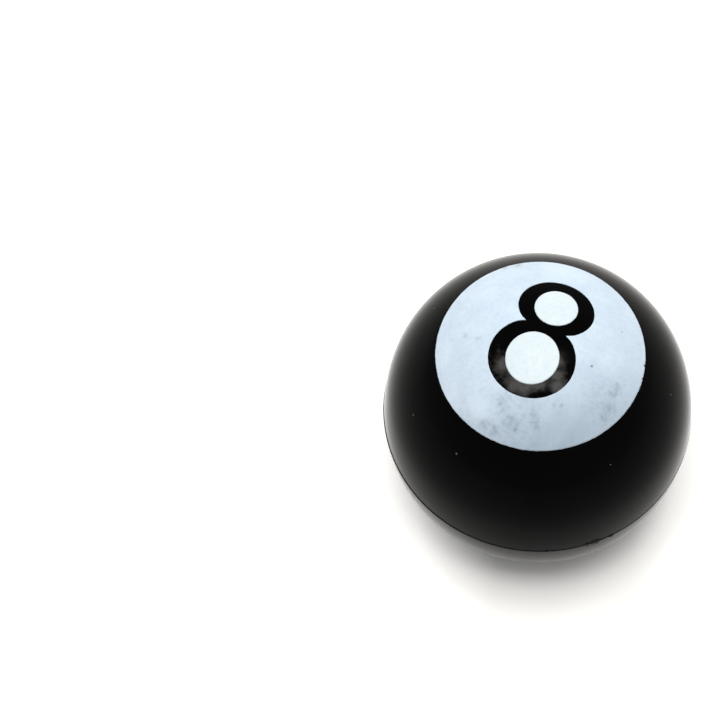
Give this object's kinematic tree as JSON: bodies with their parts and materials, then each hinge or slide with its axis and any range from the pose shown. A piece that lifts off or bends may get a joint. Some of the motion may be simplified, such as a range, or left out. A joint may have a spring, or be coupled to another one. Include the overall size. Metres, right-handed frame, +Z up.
{
  "type": "ball-shaped tyre valve cap",
  "caption": "Small black moulded ball with a white printed number spot, a flat foot and a threaded hole in its underside that screws onto a tyre valve.",
  "frame": {"origin": "centre of the flat foot, on the thread's axis and on the surface that the ball stands on", "axes": "+Z up along the thread's axis towards the printed spot, the valve enters from below along +Z, and the top of the printed figure points along +Y"},
  "size_m": [0.0204, 0.0204, 0.018],
  "materials": {
    "shell_black": "polished black moulded plastic",
    "print_white": "thin pale blue-white printed ink",
    "insert_brass": "turned brass",
    "washer_rubber": "matt black rubber"
  },
  "bodies": {
    "root": {"upper_shell": "shell_black", "lower_shell": "shell_black", "thread_insert": "insert_brass", "seal_washer": "washer_rubber", "number_spot": "print_white", "upper_counter": "print_white", "lower_counter": "print_white"}
  },
  "joints": []
}
